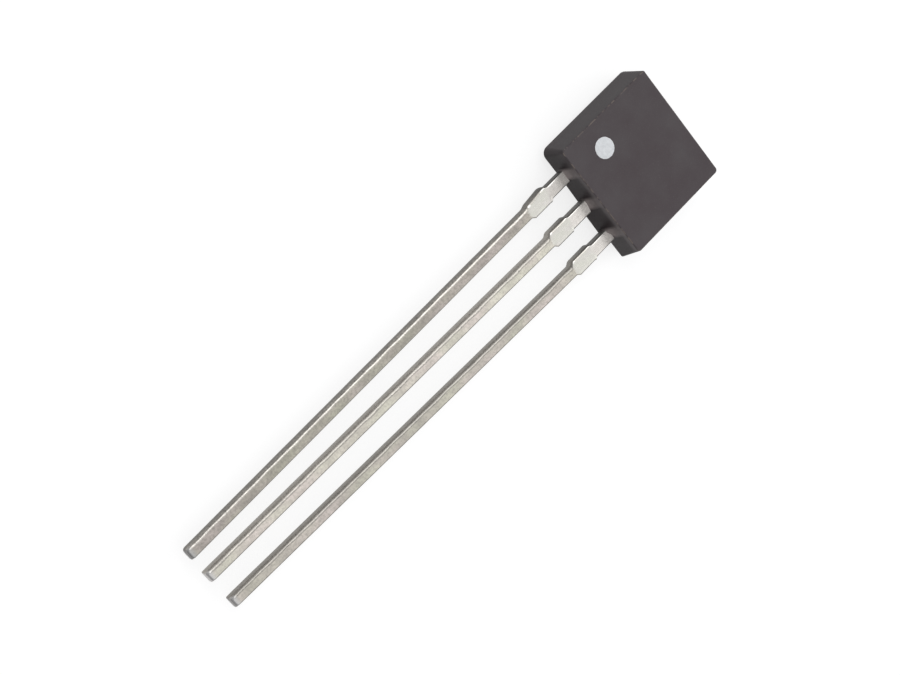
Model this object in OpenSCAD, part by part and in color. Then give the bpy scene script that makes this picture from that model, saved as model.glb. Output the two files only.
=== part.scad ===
// Three-lead Hall effect sensor in a flat single in-line package.
// It lies on its rear face: X runs across the leads, Y along them towards the top
// of the body, and Z up to the marked face. The origin is the middle of the rear
// face. Millimetres.

/* [Moulded body] */
// Width across the leads, at the parting line
body_w = 4.66; // [4.4:0.02:5.2]
// Height along the leads, at the parting line
body_h = 4.31; // [4.1:0.01:5]
// Thickness of the front half, from the parting line to the marked face
front_t = 1.15; // [1.05:0.01:1.5]
// Thickness of the rear half, from the rear face to the parting line
rear_t = 0.40; // [0.3:0.01:0.6]
// Draft of the two side walls of the front half, in degrees
side_draft = 7.4; // [2:0.1:10]
// Draft of the two end walls of the front half, in degrees
end_draft = 5; // [2:0.1:8]
// Bevel round the rear face, measured across it
rear_bevel = 0.30; // [0.1:0.01:0.4]
// Radius of the upright corner edges at the parting line
corner_r = 0.28; // [0.1:0.01:0.3]
// Radius there of the corner beside the output lead, where the moulding's gate broke off
gate_corner_r = 0.08; // [0.05:0.01:0.3]
// Radius of the same corner edges at the rear face and at the marked face
face_corner_r = 0.12; // [0.05:0.01:0.2]
// Height of the upright land that the mould's seam leaves round the body
land_t = 0.02; // [0.01:0.005:0.04]

/* [Ejector mark] */
// Diameter of the round mark that the ejector pin leaves in the rear face
ejector_d = 1.2; // [0.6:0.05:1.6]
// Depth of that mark
ejector_depth = 0.04; // [0.02:0.01:0.08]
// Distance of that mark from the middle of the rear face, towards the top
ejector_y = 0.9; // [0.7:0.05:1]

/* [Leads] */
// Distance between neighbouring leads where they leave the body
lead_spacing = 1.27; // [1.2:0.01:1.4]
// Thickness of the strip that the lead frame is stamped from
lead_t = 0.38; // [0.25:0.01:0.45]
// Width of a lead below its shoulder
lead_w = 0.38; // [0.3:0.01:0.45]
// Length of a lead from the body to its tip
lead_len = 17.2; // [8:0.1:20]
// Width of the neck between the body and the shoulder
neck_w = 0.43; // [0.34:0.01:0.46]
// Length of the neck
neck_len = 0.97; // [0.6:0.01:1.5]
// Width of the shoulder, what is left of the tie bar between the leads
shoulder_w = 0.57; // [0.48:0.01:0.65]
// Length of the shoulder with its tapers
shoulder_len = 0.83; // [0.5:0.01:1.2]
// Height of the sheared step on the right edge of the shoulder
burr = 0.03; // [0.01:0.01:0.04]
// Chamfer on the corners of a cut tip
tip_chamfer = 0.08; // [0.02:0.01:0.1]

/* [Sideways lean of the leads] */
// Lean of the supply lead below its shoulder, in degrees towards the right
supply_lean = 0; // [-1.5:0.1:0.5]
// Lean of the ground lead
ground_lean = -1.1; // [-1.3:0.1:1]
// Lean of the output lead
output_lean = -1.7; // [-2:0.1:1.5]

/* [Lead frame inside the body] */
// Length that the necks run on inside the end wall
inner_neck = 0.55; // [0.4:0.01:0.6]
// Width of the bond post at the end of each outer lead
post_w = 0.80; // [0.7:0.01:0.9]
// Height of that bond post
post_h = 0.62; // [0.5:0.01:0.65]
// Depth of the mould-lock notches in a post and in the paddle
notch = 0.12; // [0.05:0.01:0.15]
// Gap between the bond posts and the paddle
frame_gap = 0.25; // [0.2:0.01:0.3]
// Width of the paddle that carries the die
paddle_w = 2.30; // [2:0.05:2.8]
// Height of the paddle
paddle_h = 1.80; // [1.7:0.05:2]

/* [Die] */
// Width of the silicon die
die_w = 1.30; // [1:0.05:1.5]
// Height of the die
die_h = 1.10; // [0.9:0.05:1.2]
// Thickness of the die
die_t = 0.24; // [0.2:0.01:0.28]
// Thickness of the adhesive under the die
attach_t = 0.03; // [0.02:0.005:0.05]
// How far the adhesive spreads beyond the die
attach_spread = 0.08; // [0.04:0.01:0.12]

/* [Bond wires] */
// Diameter of the gold wire
wire_d = 0.03; // [0.02:0.005:0.05]
// Diameter of the ball bond on the die
ball_d = 0.09; // [0.08:0.01:0.12]
// Height of the ball bond and of the stitch bond
bond_t = 0.04; // [0.03:0.01:0.05]
// Rise of the wire's loop above the straight line between its ends
loop_rise = 0.20; // [0.1:0.01:0.22]
// Distance from the die's edges to the middle of a bond pad
pad_inset = 0.15; // [0.1:0.01:0.2]

/* [Hidden] */
$fn = 48;

epoxy_colour = [0.32, 0.30, 0.31];
tin_colour = [0.78, 0.77, 0.74];
attach_colour = [0.70, 0.69, 0.66];
silicon_colour = [0.36, 0.38, 0.44];
gold_colour = [0.90, 0.72, 0.30];

LEFT = -1;
MIDDLE = 0;
RIGHT = 1;
LEAD_END = -1;
TOP_END = 1;

// The body's corners, from the one beside the supply lead round to the top left,
// with their radii at the parting line.
CORNERS = [[LEFT, LEAD_END], [RIGHT, LEAD_END], [RIGHT, TOP_END], [LEFT, TOP_END]];
parting_radii = [corner_r, gate_corner_r, corner_r, corner_r];
face_radii = [for (corner = CORNERS) face_corner_r];

// The parting line lies in the rear plane of the lead frame.
body_t = rear_t + front_t;
side_inset = front_t * tan(side_draft);
end_inset = front_t * tan(end_draft);
lead_top = rear_t + lead_t;
attach_top = lead_top + attach_t;
die_top = attach_top + die_t;

// Everything on the lead frame is measured from the end wall that the leads come out of.
exit_y = -body_h / 2;
shoulder_y = -neck_len - shoulder_len;
neck_step = (shoulder_w - neck_w) / 2;
lead_step = (shoulder_w - lead_w) / 2;

post_top = inner_neck + post_h;
paddle_y = post_top + frame_gap;
paddle_mid = paddle_y + paddle_h / 2;
die_y = exit_y + paddle_mid;

corner_sides = 32;
wire_sides = 6;
wire_steps = 10;
stitch_w = 2 * wire_d;
stitch_l = 3 * wire_d;
// Length by which a cutter or a stem runs past the face that it meets
over = 0.1;

// ---- Moulded body ----

// Corner discs of one level of the body, set in from the outline at the parting line.
module corner_discs(level, inset_x, inset_y, radii) {
    for (i = [0 : len(CORNERS) - 1])
        translate([
            CORNERS[i][0] * (body_w / 2 - inset_x - radii[i]),
            CORNERS[i][1] * (body_h / 2 - inset_y - radii[i]),
            level
        ])
            cylinder(r = radii[i], h = land_t, $fn = corner_sides);
}

// The block without its cut-outs, stretched over its levels: the rear face, the
// land at the parting line and the marked face.
module body_blank() {
    hull() {
        corner_discs(0, rear_bevel, rear_bevel, face_radii);
        corner_discs(rear_t, 0, 0, parting_radii);
        corner_discs(body_t - land_t, side_inset, end_inset, face_radii);
    }
}

module ejector_mark() {
    translate([0, ejector_y, -over])
        cylinder(d = ejector_d, h = over + ejector_depth);
}

module moulded_body() {
    color(epoxy_colour)
        difference() {
            body_blank();
            ejector_mark();
            supply_lead();
            ground_lead();
            output_lead();
            die_attach();
            sensor_die();
            supply_wire();
            ground_wire();
            output_wire();
        }
}

// ---- Leads ----

// Right-hand edge of a lead from its tip up to the body, for a lead centred on X = 0.
// The burr is the step that the tie bar's shear leaves on that edge.
function right_edge(drift) = [
    [drift + lead_w / 2 - tip_chamfer, -lead_len],
    [drift + lead_w / 2, tip_chamfer - lead_len],
    [lead_w / 2, shoulder_y],
    [shoulder_w / 2, shoulder_y + lead_step],
    [shoulder_w / 2, -neck_len - neck_step],
    [shoulder_w / 2 + burr, -neck_len - neck_step],
    [neck_w / 2, -neck_len]
];

// Left-hand edge from the body down to the tip.
function left_edge(drift) = [
    [-neck_w / 2, -neck_len],
    [-shoulder_w / 2, -neck_len - neck_step],
    [-shoulder_w / 2, shoulder_y + lead_step],
    [-lead_w / 2, shoulder_y],
    [drift - lead_w / 2, tip_chamfer - lead_len],
    [drift - lead_w / 2 + tip_chamfer, -lead_len]
];

// Bond post at the inner end of an outer lead, with a notch in each side.
function post_outline() = [
    [neck_w / 2, inner_neck],
    [post_w / 2, inner_neck],
    [post_w / 2, inner_neck + post_h / 2 - notch],
    [post_w / 2 - notch, inner_neck + post_h / 2],
    [post_w / 2, inner_neck + post_h / 2 + notch],
    [post_w / 2, post_top],
    [-post_w / 2, post_top],
    [-post_w / 2, inner_neck + post_h / 2 + notch],
    [notch - post_w / 2, inner_neck + post_h / 2],
    [-post_w / 2, inner_neck + post_h / 2 - notch],
    [-post_w / 2, inner_neck],
    [-neck_w / 2, inner_neck]
];

// Stem and die paddle at the inner end of the middle lead, notched in the same way.
function paddle_outline() = [
    [neck_w / 2, paddle_y],
    [paddle_w / 2, paddle_y],
    [paddle_w / 2, paddle_mid - notch],
    [paddle_w / 2 - notch, paddle_mid],
    [paddle_w / 2, paddle_mid + notch],
    [paddle_w / 2, paddle_y + paddle_h],
    [-paddle_w / 2, paddle_y + paddle_h],
    [-paddle_w / 2, paddle_mid + notch],
    [notch - paddle_w / 2, paddle_mid],
    [-paddle_w / 2, paddle_mid - notch],
    [-paddle_w / 2, paddle_y],
    [-neck_w / 2, paddle_y]
];

// One stamped lead. place is LEFT, MIDDLE or RIGHT.
module lead(place, lean, inner_end) {
    drift = (lead_len + shoulder_y) * tan(lean);
    color(tin_colour)
        translate([place * lead_spacing, exit_y, rear_t])
            linear_extrude(height = lead_t)
                polygon(concat(right_edge(drift), inner_end, left_edge(drift)));
}

module supply_lead() {
    lead(LEFT, supply_lean, post_outline());
}

module ground_lead() {
    lead(MIDDLE, ground_lean, paddle_outline());
}

module output_lead() {
    lead(RIGHT, output_lean, post_outline());
}

// ---- Die ----

module die_attach() {
    color(attach_colour)
        translate([-die_w / 2 - attach_spread, die_y - die_h / 2 - attach_spread, lead_top])
            cube([die_w + 2 * attach_spread, die_h + 2 * attach_spread, attach_t]);
}

module sensor_die() {
    color(silicon_colour)
        translate([-die_w / 2, die_y - die_h / 2, attach_top])
            cube([die_w, die_h, die_t]);
}

// ---- Bond wires ----

// Height of the loop at the fraction t of the way along it.
function loop_z(t, drop) = loop_rise * sin(180 * sqrt(t)) - drop * t;

// Middle of the wire at step i, in the upright plane of the loop.
function wire_point(i, span, drop) = [span * i / wire_steps, loop_z(i / wire_steps, drop)];

// Slope of the wire at step i, in degrees above the horizontal.
function wire_slope(i, span, drop) =
    let (
        before = wire_point(max(i - 1, 0), span, drop),
        after = wire_point(min(i + 1, wire_steps), span, drop)
    )
    atan2(after[1] - before[1], after[0] - before[0]);

// Ring of points round the wire at step i, square to the wire's run.
function wire_ring(i, span, drop) =
    let (
        middle = wire_point(i, span, drop),
        slope = wire_slope(i, span, drop)
    )
    [for (k = [0 : wire_sides - 1])
        let (
            across = wire_d / 2 * cos(360 * k / wire_sides),
            upward = wire_d / 2 * sin(360 * k / wire_sides)
        )
        [middle[0] - upward * sin(slope), across, middle[1] + upward * cos(slope)]
    ];

// Two triangles of the wire's skin, beside side k of the ring at step i.
function skin_pair(i, k) =
    let (
        here = i * wire_sides,
        next = (k + 1) % wire_sides
    )
    [
        [here + k, here + wire_sides + k, here + next],
        [here + next, here + wire_sides + k, here + wire_sides + next]
    ];

module wire_skin(span, drop) {
    rings = [for (i = [0 : wire_steps]) each wire_ring(i, span, drop)];
    skin = [for (i = [0 : wire_steps - 1], k = [0 : wire_sides - 1]) each skin_pair(i, k)];
    first = [for (k = [0 : wire_sides - 1]) k];
    last = [for (k = [wire_sides - 1 : -1 : 0]) wire_steps * wire_sides + k];
    polyhedron(points = rings, faces = concat(skin, [first, last]));
}

// One bond wire from a pad on the die to a spot on the lead frame: ball, loop and stitch.
module bond_wire(pad, spot) {
    run = spot - pad;
    span = norm(run);
    drop = die_top - lead_top;
    color(gold_colour)
        translate([pad[0], pad[1], die_top])
            rotate([0, 0, atan2(run[1], run[0])]) {
                cylinder(d = ball_d, h = bond_t, $fn = wire_sides);
                translate([0, 0, bond_t / 2])
                    wire_skin(span, drop);
                translate([span - stitch_l / 2, -stitch_w / 2, -drop])
                    cube([stitch_l, stitch_w, bond_t]);
            }
}

// Bond pads lie in a row along the edge of the die that faces the leads.
pad_y = die_y - die_h / 2 + pad_inset;
pad_x = die_w / 2 - pad_inset;
// The outer wires end in the middle of their posts, and the middle one at the paddle's foot.
post_y = exit_y + post_top - post_h / 2;
foot_y = exit_y + paddle_y;

module supply_wire() {
    bond_wire([-pad_x, pad_y], [LEFT * lead_spacing, post_y]);
}

module ground_wire() {
    bond_wire([0, pad_y], [0, foot_y]);
}

module output_wire() {
    bond_wire([pad_x, pad_y], [RIGHT * lead_spacing, post_y]);
}

moulded_body();
supply_lead();
ground_lead();
output_lead();
die_attach();
sensor_die();
supply_wire();
ground_wire();
output_wire();
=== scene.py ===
"""Looks of the three-lead Hall effect sensor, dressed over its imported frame.

The part lies on its rear face on a pale table: X runs across the leads, Y along
them, Z up to the marked face. Lengths are in metres, written as millimetres * MM.
"""

import math

import bmesh
import bpy
from mathutils import Matrix, Vector, noise

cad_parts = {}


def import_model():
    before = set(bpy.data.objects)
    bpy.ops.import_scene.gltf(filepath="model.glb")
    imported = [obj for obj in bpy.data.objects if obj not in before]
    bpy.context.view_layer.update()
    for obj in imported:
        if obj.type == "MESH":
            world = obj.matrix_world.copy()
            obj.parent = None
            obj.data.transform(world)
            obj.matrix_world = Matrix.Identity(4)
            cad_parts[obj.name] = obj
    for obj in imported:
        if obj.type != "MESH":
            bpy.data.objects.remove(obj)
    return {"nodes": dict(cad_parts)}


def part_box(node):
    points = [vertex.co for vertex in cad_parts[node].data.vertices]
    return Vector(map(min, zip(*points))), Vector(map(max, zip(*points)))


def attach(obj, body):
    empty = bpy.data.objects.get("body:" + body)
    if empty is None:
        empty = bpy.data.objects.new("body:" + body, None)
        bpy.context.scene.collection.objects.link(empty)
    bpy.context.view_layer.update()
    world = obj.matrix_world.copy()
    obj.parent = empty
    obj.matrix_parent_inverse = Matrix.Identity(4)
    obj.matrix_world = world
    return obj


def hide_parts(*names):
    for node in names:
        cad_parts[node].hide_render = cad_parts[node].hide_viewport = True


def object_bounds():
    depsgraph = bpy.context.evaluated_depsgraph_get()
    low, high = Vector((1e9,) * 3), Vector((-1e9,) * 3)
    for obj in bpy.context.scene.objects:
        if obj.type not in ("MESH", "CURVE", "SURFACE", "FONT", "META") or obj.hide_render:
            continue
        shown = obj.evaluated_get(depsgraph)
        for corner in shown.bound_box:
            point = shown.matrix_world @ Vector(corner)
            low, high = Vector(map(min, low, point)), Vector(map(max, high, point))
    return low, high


MM = 0.001
MICRON = 1e-6
QUARTER_TURN = math.radians(90)
BODY = "root"

# ---- Moulded body ----
# As the construction has it
PARTING_Z = 0.40 * MM
LAND = 0.02 * MM
SIDE_DRAFT = math.radians(7.4)
END_DRAFT = math.radians(5.0)
REAR_BEVEL = 0.30 * MM
CORNER_RADIUS = 0.28 * MM
GATE_CORNER_RADIUS = 0.08 * MM
FACE_CORNER_RADIUS = 0.12 * MM
EJECTOR_RADIUS = 0.60 * MM
EJECTOR_DEPTH = 0.04 * MM
EJECTOR_Y = 0.90 * MM
# The skin's own: the corner furthest from the leads on the supply lead's side, and rounded edges
FAR_CORNER_RADIUS = 0.30 * MM
FAR_FACE_CORNER_RADIUS = 0.05 * MM
RIM_RADIUS = 0.045 * MM
SEAM_RADIUS = 0.006 * MM
CORNER_STEPS = 12
RIM_SEGMENTS = 4
EJECTOR_SIDES = 64
# Resin flashed out over the parting line between two leads: places across the end wall,
# and how far it stands out there; it dies away up the wall
FLASH_OUTLINE = (
    (-1.10 * MM, 0.0),
    (-0.19 * MM, 0.035 * MM),
    (0.19 * MM, 0.118 * MM),
    (1.06 * MM, 0.142 * MM),
    (1.30 * MM, 0.0),
)
FLASH_TOP = 1.20 * MM

# Its colours: the epoxy's own, then painted shade, painted highlights and painted reflections of the leads
EPOXY_DARK = (0.079, 0.065, 0.070)
EPOXY_PALE = (0.092, 0.081, 0.085)
SILICA_SPECK = (0.150, 0.140, 0.138)
PAINTED_WALL_SHADE = (0.032, 0.024, 0.026)
PAINTED_LOWER_WALL_SHADE = (0.020, 0.014, 0.015)
PAINTED_UPPER_HIGHLIGHT = (0.172, 0.155, 0.157)
PAINTED_LEAD_REFLECTION = (0.35, 0.306, 0.302)
PAINTED_RIM_HIGHLIGHT = (0.20, 0.168, 0.150)
# How strongly the painted shade and the painted highlight band cover what is under them, and what is left of
# that at the rim and on the left
WALL_SHADE_DEPTH = 0.58
WALL_SHADE_AT_RIM = 0.25
LOWER_WALL_DEPTH = 0.74
UPPER_BAND_DEPTH = 0.85
UPPER_BAND_ON_LEFT = 0.15
# Its lumps, and how high they stand
CLOUD_SIZE = 1.1 * MM
BREAKUP_SIZE = 0.16 * MM
SPECK_SIZE = 0.035 * MM
GRAIN_SIZE = 0.018 * MM
CLOUD_RELIEF = 6 * MICRON
CLOUD_STRENGTH = 0.6
GRAIN_RELIEF = 1.0 * MICRON
GRAIN_STRENGTH = 0.7
# How much of them shows, at the low and the high end of a span of the noise
SPECKS_SHOWN = (0.0, 0.30, 0.60, 0.76)
BREAKUP_ON_RIM = (0.0, 0.9, 0.44, 0.60)
BREAKUP_ON_REFLECTION = (0.68, 1.0)
# Finish
EPOXY_ROUGHNESS = (0.34, 0.46)
EPOXY_SPECULAR = 0.14
# Spans over which the looks fade: of the normal's Y on the end wall that the leads leave,
# of the normal's Z on the walls and up to the marked face, and of places on the end wall
END_WALL_NORMAL = (-0.97, -0.80)
WALL_NORMAL = (0.15, 0.40)
ABOVE_WALL_NORMAL = (0.25, 0.50)
BELOW_FACE_NORMAL = (0.90, 0.985)
UNSHADED_Z = (1.15 * MM, 1.50 * MM)
LOWER_WALL_Z = (1.05 * MM, 1.40 * MM)
UPPER_BAND_Z = (1.26 * MM, 1.44 * MM)
UPPER_BAND_X = (-1.7 * MM, -0.9 * MM)
# Painted reflection of each lead on the end wall above it
LEAD_SPACING = 1.27 * MM
REFLECTION_SHIFT = 0.04 * MM
REFLECTION_OFF_LEAD = (0.1224 * MM, 0.2592 * MM)
REFLECTION_RISE_Z = (PARTING_Z, PARTING_Z + 0.3 * MM)
REFLECTION_FADE_Z = (0.9 * MM, 1.45 * MM)
REFLECTION_FADED = 0.30
REFLECTION_LEFT_X = (-1.0 * MM, -0.4 * MM)
REFLECTION_LEFT_GAIN = 1.35

# ---- Ink dot on the marked face ----
DOT_X = -1.245 * MM
DOT_Y = -0.76 * MM
DOT_RADIUS = 0.36 * MM
DOT_SIDES = 72
DOT_RAGGED = 0.006 * MM
DOT_RAGGED_LUMPS = 6
DOT_SUNK = 0.004 * MM
DOT_PROUD = 0.003 * MM
# Share of the radius and height above the face, from the foot inwards
DOT_PROFILE = (
    (1.0, -DOT_SUNK),
    (1.0, 0.0),
    (0.985, DOT_PROUD * 0.7),
    (0.955, DOT_PROUD),
    (0.5, DOT_PROUD),
)

# ---- Leads ----
# What differs from lead to lead. Tones, from 0, black, to 1, white:
# tarnish       depth of the top face's tarnish, from 0, fresh tin, to 1
# painted_ridge  tone painted on the rolled edge along the leg, for its highlight and shade
# foot, roll    tone of the left side at its foot, and where it rolls over into the top: painted shade over the sheared metal's duller tone
# edge          tone painted on the rolled edge along the shoulder, for its light and shade
# right_edge_shade  tone of the painted shade line along the right edge
# neck          tone of the neck
# cut, tip      tone of the cut end, and of the top face just behind it
# Tin beyond the solid:
# left_build    on the left side
# leg_build, shoulder_build, neck_build    on the right side
# tip_build     beyond the cut end
# Bent and drawn shapes:
# left_stretch, right_stretch    how much nearer the body either side of the shoulder ends
# slant         how much further out the shoulder's left side stands at its upper end
# bow           how far the leg bows to the right, toward its tip
# Radii:
# leg_roll, shoulder_roll    of the rolled edge along the leg and along the shoulder
# under         of the lower left edge
# tip_corner    of the left corner of the cut end
LEADS = {
    "supply_lead": dict(
        tarnish=0.88, painted_ridge=0.66, foot=0.21, roll=0.46, edge=0.36,
        right_edge_shade=0.40, neck=0.80, cut=0.18, tip=0.56,
        left_build=-0.008 * MM, leg_build=0.048 * MM, shoulder_build=0.038 * MM,
        neck_build=0.050 * MM, tip_build=0.075 * MM,
        left_stretch=0.22 * MM, right_stretch=0.16 * MM, slant=0.095 * MM, bow=-0.010 * MM,
        leg_roll=0.140 * MM, shoulder_roll=0.150 * MM, under=0.110 * MM, tip_corner=0.120 * MM,
    ),
    "ground_lead": dict(
        tarnish=0.0, painted_ridge=0.26, foot=0.38, roll=0.56, edge=0.58,
        right_edge_shade=0.26, neck=0.96, cut=0.46, tip=0.71,
        left_build=0.002 * MM, leg_build=0.014 * MM, shoulder_build=0.026 * MM,
        neck_build=0.052 * MM, tip_build=0.114 * MM,
        left_stretch=0.16 * MM, right_stretch=0.08 * MM, slant=0.0, bow=0.0,
        leg_roll=0.158 * MM, shoulder_roll=0.105 * MM, under=0.040 * MM, tip_corner=0.045 * MM,
    ),
    "output_lead": dict(
        tarnish=0.42, painted_ridge=0.25, foot=0.31, roll=0.42, edge=0.70,
        right_edge_shade=0.06, neck=0.96, cut=0.24, tip=0.70,
        left_build=0.0, leg_build=0.014 * MM, shoulder_build=0.006 * MM,
        neck_build=0.040 * MM, tip_build=0.110 * MM,
        left_stretch=0.20 * MM, right_stretch=0.12 * MM, slant=0.0, bow=0.022 * MM,
        leg_roll=0.142 * MM, shoulder_roll=0.080 * MM, under=0.050 * MM, tip_corner=0.045 * MM,
    ),
}
# The neck and the shoulder, as the construction has them
NECK_LENGTH = 0.97 * MM
SHOULDER_LENGTH = 0.83 * MM
# How much nearer the body the shoulder's finish, tin and radii reach; its outline has stretches of its own
SHOULDER_STRETCH = 0.14 * MM
# The shoulder's length over the length of the fade at either end
SHOULDER_FADES = 6
# Length over which a bowed leg turns
BOW_LENGTH = 4.5 * MM
# Radii of the cross-section's other edges, and the wander of the rolled one, as a share
NECK_ROLLED_RADIUS = 0.062 * MM
TRIMMED_RADIUS = 0.052 * MM
SHEARED_RADIUS = 0.025 * MM
ROLLED_WANDER = 0.25
# Radii of the cut end's edges, and how little of the solid's cut corners still shows
TIP_RADIUS = 0.160 * MM
TIP_UNDER_RADIUS = 0.030 * MM
TIP_RIGHT_RADIUS = 0.020 * MM
TIP_SQUARE = 0.12 * MM
# Slow waves of the tin
WAVE_DEPTH = 0.005 * MM
WAVE_LENGTH = 0.60 * MM
# Reading of the solid's outline
WELD_DISTANCE = MICRON / 10
SHARP_ANGLE = math.radians(45)
# Softening of the outline's corners, along the lead
LEFT_SOFTENING = 0.050 * MM
RIGHT_SOFTENING = 0.020 * MM
SOFTENING_SAMPLES = (-1.0, -0.5, 0.0, 0.5, 1.0)
SOFTENED_INSIDE_BODY = 2 * LEFT_SOFTENING
# Fineness of the mesh, and how far below the shoulder it stays fine
ARC_STEPS = 5
FLAT_STEPS = 3
TIP_STEPS = 6
STATION_STEP = 0.10 * MM
FINE_STATION_STEP = 0.030 * MM
FINE_BELOW_SHOULDER = 4 * LEFT_SOFTENING

# Colours of the tin, fresh and fully tarnished
ROSY_TIN = ((0.96, 0.865, 0.80), (0.62, 0.555, 0.515))
SALLOW_TIN = ((0.91, 0.89, 0.75), (0.57, 0.555, 0.45))
DARK_TIN = ((0.52, 0.49, 0.44), (0.27, 0.255, 0.23))
# Its colours on the shoulder, and the painted highlights on the rolled edge and on the shoulder's lower left
# corner
COINED_TIN = ((0.79, 0.785, 0.71), (0.80, 0.77, 0.73))
COINED_PIT = (0.66, 0.64, 0.58)
PAINTED_HIGHLIGHT_TIN = (0.97, 0.95, 0.91)
PAINTED_GLINT = (0.96, 0.95, 0.92)
# Its colours along the neck: the rolled edge's painted tone, the painted shade line along the right edge, the
# painted shade on the left side; and on the right side
NECK_EDGE = (0.62, 0.60, 0.57)
NECK_RIGHT_EDGE_SHADE = (0.09, 0.084, 0.08)
PAINTED_NECK_SIDE_SHADE = (0.10, 0.096, 0.092)
RIGHT_SIDE = (0.52, 0.49, 0.45)
# Tints for the tones in LEADS
NECK_TINT = (1.0, 0.955, 0.90)
NECK_POOL_TINT = (0.76, 0.725, 0.68)
SIDE_TINT = (1.0, 0.95, 0.87)
PAINTED_RIDGE_TINT = (1.0, 0.96, 0.89)
TIP_TINT = (1.0, 0.99, 0.97)
CUT_TINT = (1.0, 0.97, 0.96)
# Tone of the left side's pits over the tone of its foot, and how much of the left side the painted shade on
# the neck covers
PIT_TONE = 0.6
NECK_SIDE_DEPTH = 0.75
# Lumps of the tin and how high they stand
HUE_SIZE = 0.9 * MM
POOL_SIZE = 0.32 * MM
PIT_SIZE = 0.085 * MM
STREAK_SIZE = 0.06 * MM
POOL_RELIEF = 10 * MICRON
POOL_STRENGTH = 0.5
PIT_RELIEF = 3.0 * MICRON
PIT_STRENGTH = 0.7
STREAK_RELIEF = 1.0 * MICRON
STREAK_STRENGTH = 0.5
# How far the lumps are drawn out along the lead
HUE_STRETCH = (1.0, 0.5, 1.0)
POOL_STRETCH = (1.0, 0.6, 1.0)
STREAK_STRETCH = (1.0, 0.30, 1.0)
# How much of them shows, at the low and the high end of a span of the noise
POOLS_ON_TOP = (0.0, 0.55, 0.35, 0.70)
PITS_ON_TOP = (0.0, 0.60, 0.42, 0.72)
STREAKS_ON_TOP = (0.0, 0.25)
PITS_ON_SHOULDER = (0.0, 0.25, 0.50, 0.80)
POOLS_ON_SIDE = (0.0, 0.5, 0.36, 0.64)
PITS_ON_SIDE = (0.0, 0.5, 0.42, 0.70)
# How much of the tone painted on the rolled edge and of the painted shade line along the right edge shows
RIDGE_OVER_PITS = (1.0, 0.45)
RIGHT_EDGE_SHADE_DEPTH = 0.9
# Spans of the noise over which the hues change
HUE_SPAN = (0.38, 0.62)
COINED_HUE_SPAN = (0.35, 0.65)
# Finish of the metal
SHEEN = (0.20, 0.32)
LEFT_SIDE_ROUGHNESS = 0.50
BLED_METALLIC = 0.16
SMOOTHED_PITS = 0.06
# Spans of the normal's X, to the left below 0, over which the looks of the edges fade
LEG_RIDGE_NORMAL = (-0.20, -0.08)
NECK_RIDGE_NORMAL = (-0.12, -0.04)
SHOULDER_EDGE_NORMAL = (-0.30, -0.12)
GLINT_NORMAL = (-0.16, -0.06)
RIGHT_EDGE_SHADE_NORMAL = (0.14, 0.34)
RIGHT_SIDE_NORMAL = (0.30, 0.80)
LEFT_SIDE_NORMAL = (-0.60, -0.30)
# Spans of the normal's Z for the sides, the rolled edge and the cropped tip, and of its Y for the cut
SIDE_NORMAL = (0.82, 0.95)
ROLL_NORMAL = (0.10, 0.60)
TIP_TOP_NORMAL = (0.35, 0.80)
CUT_NORMAL = (-0.94, -0.42)
# Ragged end of the burnished shoulder, and the shares of its length where it starts and ends
SHOULDER_FRAY = 0.08 * MM
SHOULDER_END = (0.43, 0.52)
# Film of resin on the last of the neck: where it starts and is full, short of the body
BLEED_START = 0.40 * MM
BLEED_FULL = 0.12 * MM
# Cropped tip, in radii of its upper edge from the cut end
CROPPED_TIP = (0.7, 1.7)
# Painted highlight along the rolled edge, from the shoulder's upper corner to the neck: its ends, above the
# shoulder's foot
HIGHLIGHT_STREAK_START = 0.72 * MM
HIGHLIGHT_STREAK_END = 1.45 * MM
HIGHLIGHT_STREAK_FADE = 0.18 * MM
# Painted glint on the lower left corner of the shoulder: how far up it is, and how long
GLINT_RISE = 0.16 * MM
GLINT_LENGTH = 0.07 * MM

# ---- Small pieces ----
# Two colours, size of the lumps, roughness, metallic
INK = ((0.80, 0.82, 0.84), (0.68, 0.70, 0.72), 0.10 * MM, 0.55, 0.0)
ADHESIVE = ((0.62, 0.61, 0.58), (0.50, 0.49, 0.46), 0.05 * MM, 0.45, 0.6)
SILICON = ((0.10, 0.11, 0.14), (0.16, 0.17, 0.21), 0.12 * MM, 0.18, 0.3)
GOLD = ((0.95, 0.72, 0.30), (0.85, 0.60, 0.22), 0.03 * MM, 0.22, 1.0)
ROUGHNESS_SPREAD = 0.12
MOTTLED_RELIEF = 1.0 * MICRON

# ---- Stage ----
TABLE_SIZE = 3.0
TABLE_GRAIN_SIZE = 6 * MM
TABLE_DARK = (0.295, 0.295, 0.295)
TABLE_PALE = (0.305, 0.305, 0.305)
TABLE_ROUGHNESS = 0.9
TABLE_LIFT = 0.785
WORLD_COLOUR = (0.98, 0.98, 1.0, 1.0)
WORLD_STRENGTH = 0.40
PANEL_DISTANCE = 0.30
# Name, direction from the part, width, height, radiance
PANELS = (
    ("ceiling", (0.20, 0.25, 1.0), 0.60, 0.60, 0.42),
    ("key", (-0.55, 0.30, 0.80), 0.20, 0.20, 1.50),
    ("fill", (0.40, 0.90, 0.60), 0.26, 0.20, 1.20),
)

# ---- Camera, for a picture of 900 x 675 pixels ----
# From the middle of the end wall, at the parting line
CAMERA_OFFSET = Vector((-18.089 * MM, -21.711 * MM, 51.028 * MM))
CAMERA_RIGHT = (0.60886, 0.67484, 0.41699)
CAMERA_UP = (-0.72558, 0.68623, -0.05112)
CAMERA_BACK = (-0.32065, -0.27144, 0.90747)
SENSOR_WIDTH = 36.0
FOCAL_LENGTH = 69.82
CLIP_START = 1 * MM
CLIP_END = 10.0


# ---- Places on the part ----

def exit_place():
    """Y of the end wall, where the leads leave the body."""
    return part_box("moulded_body")[0].y


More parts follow.
